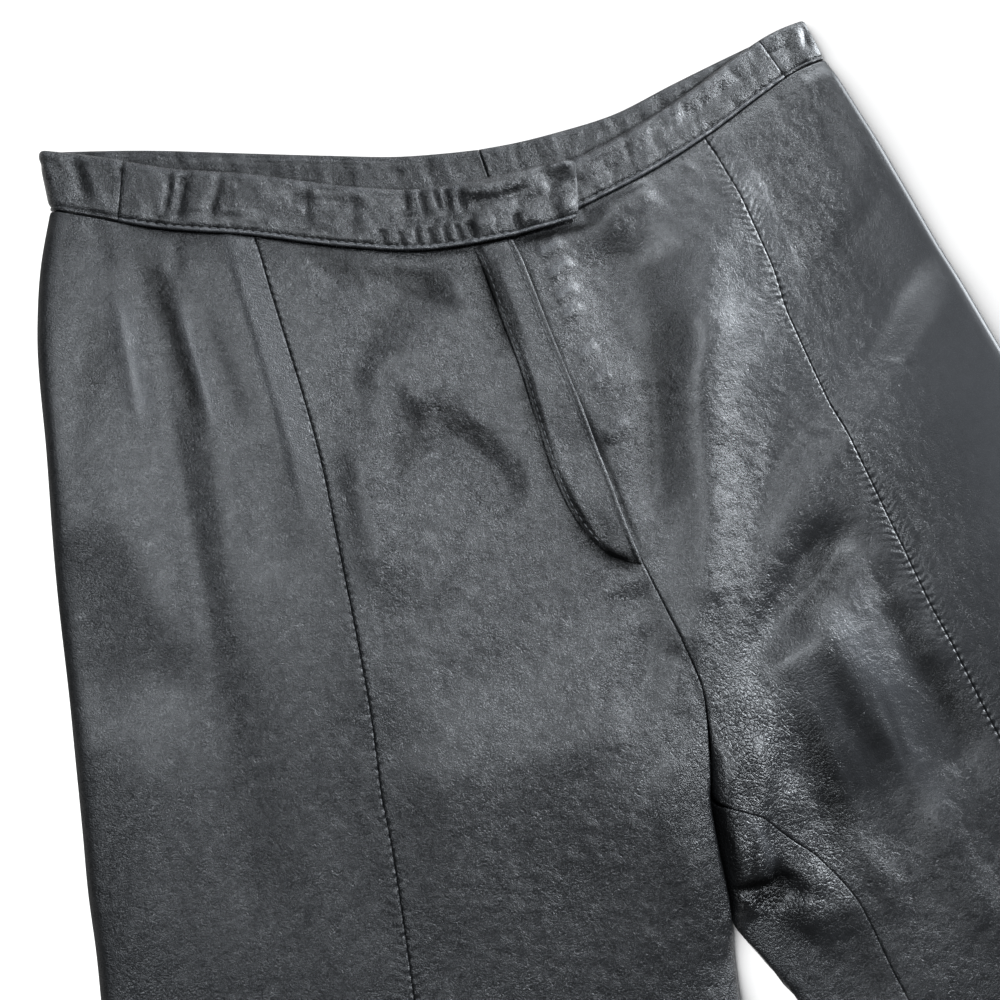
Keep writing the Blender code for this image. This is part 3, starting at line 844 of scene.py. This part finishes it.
def back_band(half):
    """Back of the band, from the centre back round the side fold to the joint on the front."""
    width = half.waist()
    flat = BAND_REACH - BAND_ROLL - BAND_WALL / 2
    start = (1 - BAND_JOINT) * width - SEAM_GAP + flat
    end = -(width - SEAM_GAP / 2 + flat)
    inside = np.linspace(start - EDGE, end + EDGE, round((start - end) / BAND_STEP))
    fold = np.linspace(BAND_REACH, -BAND_REACH, 13)
    inside = np.concatenate([inside[inside > BAND_REACH + 0.5], fold, inside[inside < -BAND_REACH - 0.5]])
    inside[0] = start - JOINT_EDGE
    butted = start - EDGE_STEPS[:-1] * JOINT_EDGE / EDGE
    run = np.concatenate([butted, inside, end + EDGE_STEPS[-2::-1]])[:, None]
    inset, level = round_edge(run, BAND_ROLL, BAND_REACH)
    share = 1 - (inset + BAND_WALL / 2) / width
    piece = BANDS["back_" + half.name]
    up = band_heights(piece.middle_height)
    high = BAND_WALL * 1.5 + BAND_SPACE + 0.5 * (1 - ease((run - 8) / 16))
    middle = BAND_WALL / 2 + (high - BAND_WALL / 2) * (1 + level) / 2
    front = band_grid(half, "front", share, up, middle)
    back = band_grid(half, "back", share, up, middle)
    length = np.abs(run - run[:1])
    grid = np.where(level[..., None] < 0, back, front)
    rise = up * piece.middle_height
    relief = relief_of(BAND_FOLDS["back_" + half.name], length[-1:] - length, rise)
    relief = relief + bead_lift(rise) * ease(level)
    shares = np.linspace(0.0, BAND_JOINT, 200)[:, None]
    over = band_grid(half, "front", shares, np.ones((1, 1)), 0.0)[:, 0]
    over = over[np.argsort(over[:, 0])]
    # Painted shade: the back layer of the band is darkened throughout, most of all just behind the top edge
    # of the front; painted highlight along its rounded top
    past = grid[..., 1] - np.interp(grid[..., 0], over[:, 0], over[:, 1])
    lapped = (0.25 + 0.6 * bell(past, 1.2)) * (1 - level) / 2
    marks = {"pressed": painted_top_highlight(piece, rise) + 0 * length, "lapped": lapped}
    return (*raised(grid, band_wall(length, up, piece.middle_height, False), relief), marks)


def fly_relief(across, wide, place):
    """Bead and stitched groove along the fly, the sunk far edge, and the hollow in the rounded end."""
    relief = 0.5 * bell(across - 1.4, 0.9) - 0.35 * bell(across - FLY_STITCH, 0.7)
    sunk = ease(place / 15) * ease((75 - place) / 40)
    relief = relief - 0.9 * sunk * bell(wide - across - 4, 2.6)
    relief = relief - 0.7 * bell(wide - across - 2.2, 0.8) * ease((150 - place) / 20)
    relief = relief - 0.8 * bell(place - 146, 9) * bell(across - wide * 0.55, 6)
    relief = relief - 0.35 * bell(place - 92, 7) * ease(across / 8)
    return relief + 0.3 * bell(place - 70, 9) * ease(across / 6)


def fly_stitch_lines(strip):
    """Stitching lines on the fly strip, along the fly and round its far edge."""
    middles, places = strip[0], strip[2]
    lines = []
    for across in (FLY_STITCH, None):
        line = []
        for row, (place, wide) in zip(middles, places):
            if 3 < place < (118 if across else 150):
                out = np.hypot(row[:, 0] - row[0, 0], row[:, 1] - row[0, 1])
                at = across if across else out[-1] - 2.2
                line.append(points_at(row, out, at))
        line = np.array(line)
        line[:, 2] += WALL / 2 + 0.12
        lines.append(line)
    return lines


def fly_strip(panel, stations):
    """The raised strip beside the fly, from points of the right front panel moved out."""
    first, last = PLACKET[0].along, PLACKET[-1].along
    inside = np.arange(first + EDGE, last - EDGE, 1.5)
    along = np.concatenate([first + EDGE_STEPS[:-1], inside, last - EDGE_STEPS[::-1]])
    width = read(PLACKET, "width", along)
    row_at = np.interp(along, stations, np.arange(len(stations)))
    edge = EDGE_STEPS[:-1] / 20
    share = np.concatenate([edge, np.linspace(EDGE / 20, 1 - EDGE / 20, 16), 1 - edge[::-1]])
    rows, walls = [], []
    for row, wide, place in zip(row_at, width, along):
        low = min(int(row), len(stations) - 2)
        line = panel[low] + (panel[low + 1] - panel[low]) * (row - low)
        out = np.hypot(line[:, 0] - line[0, 0], line[:, 1] - line[0, 1])
        across = 0.2 + (wide - 0.2) * share
        points = points_at(line, out, across)
        points[:, 2] += 0.5 + (WALL + LYING_GAP - 0.5) * ease((wide - across) / 4) * ease((last - place) / 8)
        points[:, 2] += fly_relief(across, wide, place)
        rows.append(points)
        wall = WALL / 2 * rim(across - across[0]) * rim(across[-1] - across)
        walls.append(wall * rim(place - first) * rim(last - place))
    return np.array(rows), np.array(walls), list(zip(along, width))


def cut(name, finish, middle, thick, marks):
    """A piece of leather: a closed shell round the middle of its wall, thick being half the wall."""
    normal = np.cross(np.gradient(middle, axis=1), np.gradient(middle, axis=0))
    normal /= np.maximum(np.linalg.norm(normal, axis=-1, keepdims=True), 1e-9)
    grain = middle + normal * thick[..., None]
    lining = middle - normal * thick[..., None]
    loop = np.concatenate([grain, lining[:, -2::-1]], axis=1)
    marks = {mark: np.broadcast_to(value, thick.shape) for mark, value in marks.items()}
    marks = {mark: np.concatenate([value, value[:, -2::-1]], axis=1) for mark, value in marks.items()}
    rows, columns = loop.shape[:2]
    shell = bmesh.new()
    bmesh.ops.create_grid(shell, x_segments=columns - 1, y_segments=rows - 1, size=0.5)
    layers = {mark: shell.verts.layers.float.new(mark) for mark in marks}
    for corner in shell.verts:
        column = round((corner.co.x + 0.5) * (columns - 1))
        row = round((corner.co.y + 0.5) * (rows - 1))
        x, y, z = loop[row, column]
        corner.co = (x * MM, (y + ORIGIN_Y) * MM, z * MM)
        for mark, layer in layers.items():
            corner[layer] = marks[mark][row, column]
    bmesh.ops.remove_doubles(shell, verts=shell.verts, dist=1e-7)
    bmesh.ops.recalc_face_normals(shell, faces=shell.faces)
    return piece_of(name, shell, finish)


# Patches and lines of each mark that the finish reads
MARKS = {
    "hollow": ((), PAINTED_SHADE_LINES),
    "crumple": (CRUMPLES, ()),
    "pucker": (PUCKERS, ()),
    "smooth": (SMOOTH, ()),
    "painted_light_and_shade": (PAINTED_LIGHT_PATCHES, PAINTED_LIGHT_AND_SHADE_LINES),
}


def link(made):
    """Puts an object into the scene."""
    bpy.context.scene.collection.objects.link(made)


def mesh_of(name, shape, finish):
    """A mesh with its finish, from a shape that is then given up."""
    mesh = bpy.data.meshes.new(name)
    shape.to_mesh(mesh)
    shape.free()
    mesh.materials.append(finish)
    return mesh


def piece_of(name, shape, finish):
    """A finished piece of the garment from its mesh, riding with the solids."""
    mesh = mesh_of(name, shape, finish)
    place = np.empty(len(mesh.vertices) * 3)
    mesh.vertices.foreach_get("co", place)
    x, y = place[0::3] / MM, place[1::3] / MM - ORIGIN_Y
    for mark, (patches, lines) in MARKS.items():
        amount = amount_of(patches, x, y) + relief_of(lines, x, y)
        drawn = mesh.attributes.new(mark, "FLOAT", "POINT")
        drawn.data.foreach_set("value", amount.astype(np.float32))
    mesh.shade_smooth()
    piece = bpy.data.objects.new(name, mesh)
    link(piece)
    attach(piece, "root")
    return piece


class Value:
    """A number that varies over a finish; arithmetic on it adds Math nodes."""

    def __init__(self, finish, socket):
        self.finish = finish
        self.socket = socket

    def math(self, operation, *others):
        """A Math node with this number first."""
        sockets = dict(enumerate((self, *others)))
        return self.finish.node("ShaderNodeMath", {"operation": operation}, sockets)

    def __add__(self, other):
        return self.math("ADD", other)

    __radd__ = __add__

    def __sub__(self, other):
        return self.math("SUBTRACT", other)

    def __mul__(self, other):
        return self.math("MULTIPLY", other)

    def __pow__(self, other):
        return self.math("POWER", other)


class Finish:
    """The node tree of one material."""

    def __init__(self, name):
        self.material = bpy.data.materials.new(name)
        self.material.use_nodes = True
        self.tree = self.material.node_tree
        self.shader = self.tree.nodes["Principled BSDF"]

    def node(self, kind, settings, sockets, output=0):
        """Adds a node, its settings first, then the values or links of its sockets."""
        made = self.tree.nodes.new(kind)
        for name, value in settings.items():
            setattr(made, name, value)
        for name, value in sockets.items():
            self.feed(made.inputs[name], value)
        return Value(self, made.outputs[output])

    def feed(self, socket, value):
        if isinstance(value, Value):
            self.tree.links.new(value.socket, socket)
        else:
            socket.default_value = value

    def give(self, name, value):
        """Feeds an input of the shader."""
        self.feed(self.shader.inputs[name], value)

    def place(self, scale=(1.0, 1.0, 1.0), turn=0.0):
        """Object coordinates, stretched and turned about Z."""
        at = self.node("ShaderNodeTexCoord", {}, {}, "Object")
        sockets = {"Vector": at, "Scale": scale, "Rotation": (0.0, 0.0, turn)}
        return self.node("ShaderNodeMapping", {}, sockets)

    def mark(self, name):
        """A number kept on the corners of a piece."""
        return self.node("ShaderNodeAttribute", {"attribute_name": name}, {}, "Fac")

    def noise(self, at, scale, detail=2.0, roughness=0.5, distortion=0.0):
        """Soft noise from 0 to 1."""
        sockets = {"Vector": at, "Scale": scale, "Detail": detail, "Roughness": roughness}
        sockets["Distortion"] = distortion
        return self.node("ShaderNodeTexNoise", {}, sockets, "Fac")

    def mix(self, share, first, second):
        """Two colours mixed by a share."""
        return self.node("ShaderNodeMix", {"data_type": "RGBA"}, {"Factor": share, 6: first, 7: second}, 2)


def leather(name, gather):
    """Black nappa: creased grain, pebbles where it is crumpled, puckers by the seams, gathers on a band, with
    painted highlights and painted shade in its colour.
    """
    finish = Finish(name)
    at = finish.place()
    drift = finish.node("ShaderNodeTexNoise", {}, {"Vector": at, "Scale": 130.0, "Detail": 1.0}, "Color")
    drift = finish.node("ShaderNodeVectorMath", {"operation": "SCALE"}, {0: drift, "Scale": 0.004})
    warped = finish.node("ShaderNodeVectorMath", {"operation": "ADD"}, {0: at, 1: drift})
    cloud = finish.noise(at, 28.0, 3.0, 0.55)
    patchy = finish.noise(at, 110.0, 2.0)
    crumple = finish.mark("crumple")
    worms = (finish.noise(warped, 760.0, 2.0, 0.6, 0.3) - 0.5).math("ABSOLUTE") * -4.0 + 1.0
    fine = finish.noise(warped, 1900.0, 2.0)
    soft = finish.noise(warped, 230.0, 1.0)
    cells = {"Vector": warped, "Scale": 430.0}
    edges = finish.node("ShaderNodeTexVoronoi", {"feature": "DISTANCE_TO_EDGE"}, cells, "Distance")
    pebbles = (edges * 4.5).math("MINIMUM", 1.0) ** 0.6
    height = worms * (patchy * 0.5 + 0.5) * 1.5 + fine * 1.4 + soft * 2.2
    height = height * (finish.mark("smooth") * -0.9 + 1.0) + pebbles * crumple * 2.0
    # Painted light and shade in the colour: lighter on the pressed seam allowance, the bead and the tops of
    # the band and in the patches and ridge lines of painted light, darker in the lines of painted shade; the
    # rest is grain and random tone
    painted_light_and_shade = finish.mark("painted_light_and_shade")
    tone_and_painted_light = cloud * 0.05 + patchy * 0.03 + worms * 0.1 + soft * 0.2
    tone_and_painted_light = tone_and_painted_light + finish.mark("pressed") * 0.3 + painted_light_and_shade * 0.45 - 0.02
    if gather:
        folds = finish.noise(finish.place((1.0, 0.5, 1.0), 0.4), 105.0, 1.0, 0.5)
        height = height * 1.4 + folds * (finish.mark("smooth") * -0.6 + 1.0) * 17.0
        # The colour follows the gathers: painted highlights on their crests and painted shade in their
        # hollows
        tone_and_painted_light = tone_and_painted_light + folds * 0.6 - 0.32
    else:
        out = finish.mark("from_seam")
        down = finish.mark("down")
        drawn = (down * 1.65 + out * 0.9 + patchy * 9.0).math("SINE") * (out * -0.26).math("EXPONENT")
        height = height + drawn * finish.mark("pucker") * 1.5
        tight = (down * 1.65).math("COSINE") * (out * out * -0.5).math("EXPONENT")
        height = height + tight * 1.8
    raise_by = {"Height": height, "Strength": 0.75, "Distance": 0.0002}
    bump = finish.node("ShaderNodeBump", {}, raise_by, "Normal")
    shade = finish.mix(tone_and_painted_light, (0.0025, 0.0027, 0.003, 1.0), (0.058, 0.06, 0.065, 1.0))
    finish.give("Base Color", shade)
    rough = cloud * 0.02 + fine * 0.06 + finish.mark("fold") * 0.4 + 0.23
    finish.give("Roughness", rough)
    finish.give("Normal", bump)
    finish.give("Coat Weight", painted_light_and_shade * 0.12 + 0.12)
    finish.give("Coat Roughness", 0.22)
    # Painted shade: plain black mixed over the finish along the lines of painted shade, in the band's
    # stitched groove and behind the front of the band, and on the rolled outer folds
    shadow = finish.mark("hollow") + finish.mark("lapped") + finish.mark("fold") * 0.6
    darkened(finish, shadow.math("MINIMUM", 0.9))
    return finish.material


def darkened(finish, share):
    """Puts plain black over a finish where little light reaches."""
    black = finish.node("ShaderNodeBsdfDiffuse", {}, {"Color": (0.003, 0.003, 0.003, 1.0)})
    lit = Value(finish, finish.shader.outputs[0])
    mixed = finish.node("ShaderNodeMixShader", {}, {0: share, 1: lit, 2: black})
    finish.feed(finish.tree.nodes["Material Output"].inputs["Surface"], mixed)


def thread():
    """Black twisted sewing thread, painted a lighter grey in streaks along its twist as painted highlights of
    its gloss.
    """
    finish = Finish("thread")
    twist = finish.noise(finish.place((1.0, 1.0, 1.0), 0.6), 2600.0, 1.0)
    shade = finish.mix(twist, (0.03, 0.03, 0.032, 1.0), (0.14, 0.145, 0.15, 1.0))
    finish.give("Base Color", shade)
    finish.give("Roughness", 0.35 + twist * 0.25)
    return finish.material


def paper():
    """White studio ground."""
    finish = Finish("paper")
    finish.give("Base Color", (0.9, 0.9, 0.9, 1.0))
    finish.give("Roughness", 0.9)
    finish.give("Specular IOR Level", 0.1)
    return finish.material


def stitched(name, lines, stitch, finish):
    """Rows of stitches along lines of points, each stitch a short rounded thread lying on its line."""
    rows = bmesh.new()
    for line in lines:
        step = np.linalg.norm(np.diff(line, axis=0), axis=1)
        along = np.concatenate([[0], np.cumsum(step)])
        for start in np.arange(STITCH_PITCH * 0.3, along[-1] - stitch.length, STITCH_PITCH):
            first, last = (points_at(line, along, at) for at in (start, start + stitch.length))
            middle, way = (first + last) / 2, last - first
            middle[1] += ORIGIN_Y
            size = Matrix.Diagonal((stitch.length / 2, stitch.radius, stitch.radius * 0.8, 1.0))
            turn = Vector(way).to_track_quat("X", "Z").to_matrix().to_4x4()
            place = Matrix.Scale(MM, 4) @ Matrix.Translation(Vector(middle)) @ turn @ size
            bmesh.ops.create_uvsphere(rows, u_segments=8, v_segments=6, radius=1.0, matrix=place)
    return piece_of(name, rows, finish)


def band_stitch_line(half, start, end):
    """Line of the stitching just above the lower edge of the front of the band."""
    width = half.waist()
    share = np.linspace(start, end, 160)[:, None]
    height = BANDS["front_" + half.name].middle_height
    level = FRONT_MIDDLE + 0.55 + lap_lift(half, share)
    return band_grid(half, "front", share, np.array([[STITCH_UP / height]]), level)[:, 0]


def camera():
    """Camera above the fly, tilted and turned with the garment's waist to the top."""
    tilt, turn, lean = math.radians(18), math.radians(28), math.radians(45)
    target = Vector((-0.046, 0.3587, 0.004))
    distance = 0.665
    away = Vector((math.cos(turn), math.sin(turn), 0))
    across = Vector((-math.sin(turn), math.cos(turn), 0))
    up = Vector((0, 0, 1))
    forward = math.sin(tilt) * away - math.cos(tilt) * up
    rising = math.cos(tilt) * away + math.sin(tilt) * up
    right = math.cos(lean) * rising - math.sin(lean) * across
    top = math.sin(lean) * rising + math.cos(lean) * across
    data = bpy.data.cameras.new("camera")
    data.lens = 54
    data.sensor_width = 36
    data.clip_start = 0.01
    made = bpy.data.objects.new("camera", data)
    place = target - distance * forward
    rows = [[right[i], top[i], -forward[i], place[i]] for i in range(3)]
    made.matrix_world = Matrix([*rows, [0, 0, 0, 1]])
    link(made)
    bpy.context.scene.camera = made


def softbox(name, place, aim, wide, tall, power, colour, only):
    """A large rectangular light aimed at a point, lighting only the pieces of one collection."""
    data = bpy.data.lights.new(name, "AREA")
    data.shape = "RECTANGLE"
    data.size, data.size_y = wide, tall
    data.energy = power
    data.color = colour
    made = bpy.data.objects.new(name, data)
    way = Vector(aim) - Vector(place)
    made.matrix_world = Matrix.Translation(place) @ way.to_track_quat("-Z", "Y").to_matrix().to_4x4()
    link(made)
    made.light_linking.receiver_collection = only


def studio(pieces):
    """White ground and soft light from the upper right."""
    ground = bmesh.new()
    below = Matrix.Translation((0, 0, -0.0004))
    bmesh.ops.create_grid(ground, x_segments=8, y_segments=8, size=6.0, matrix=below)
    made = bpy.data.objects.new("ground", mesh_of("ground", ground, paper()))
    link(made)
    world = bpy.data.worlds.new("studio")
    world.use_nodes = True
    background = world.node_tree.nodes["Background"].inputs
    background["Color"].default_value = (0.92, 0.96, 1.0, 1.0)
    background["Strength"].default_value = 0.12
    bpy.context.scene.world = world
    bpy.context.scene.view_settings.view_transform = "Standard"
    highlit = bpy.data.collections.new("highlit")
    for piece in pieces:
        highlit.objects.link(piece)
    floor = bpy.data.collections.new("floor")
    floor.objects.link(made)
    # The places and sizes of right_box, over_box and top_box came out of the same fitting program
    softbox("right_box", (1.815, 0.871, 0.538), AIM, 0.94, 0.94, 73, COOL, highlit)
    softbox("over_box", (0.231, 0.882, 2.266), AIM, 0.81, 0.81, 30, COOL, highlit)
    softbox("top_box", (1.103, 2.103, 1.021), AIM, 0.8, 0.8, 27.5, COOL, highlit)
    softbox("low_box", (-1.8, 0.9, 1.5), (0.0, 0.3, 0), 3.0, 2.6, 170, WHITE, floor)


def main():
    """Makes every piece, then the camera and the light."""
    panel = leather("panel_leather", False)
    band = leather("band_leather", True)
    stations = leg_stations()
    pieces = []
    for half in (RIGHT, LEFT):
        for part, made in (("front", front_leather), ("side", side_leather), ("back", back_leather)):
            piece = cut(f"{part}_leather_{half.name}", panel, *made(half, stations))
            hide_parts(f"{part}_panel_{half.name}")
            pieces.append(piece)
        for part, made in (("front", front_band), ("back", back_band)):
            piece = cut(f"{part}_band_{half.name}", band, *made(half))
            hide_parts(f"waistband_{part}_{half.name}")
            pieces.append(piece)
    fly = fly_strip(front_leather(RIGHT, stations)[0], stations)
    strip = cut("fly_strip", panel, fly[0], fly[1], {})
    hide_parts("fly_placket")

    sewing = thread()
    waist = [band_stitch_line(RIGHT, 0.0, BAND_JOINT - 0.01), band_stitch_line(LEFT, 0.19, BAND_JOINT - 0.01)]
    pieces += [strip, stitched("waist_stitching", waist, WAIST_THREAD, sewing)]
    pieces.append(stitched("fly_stitching", fly_stitch_lines(fly), FLY_THREAD, sewing))
    camera()
    studio(pieces)


main()
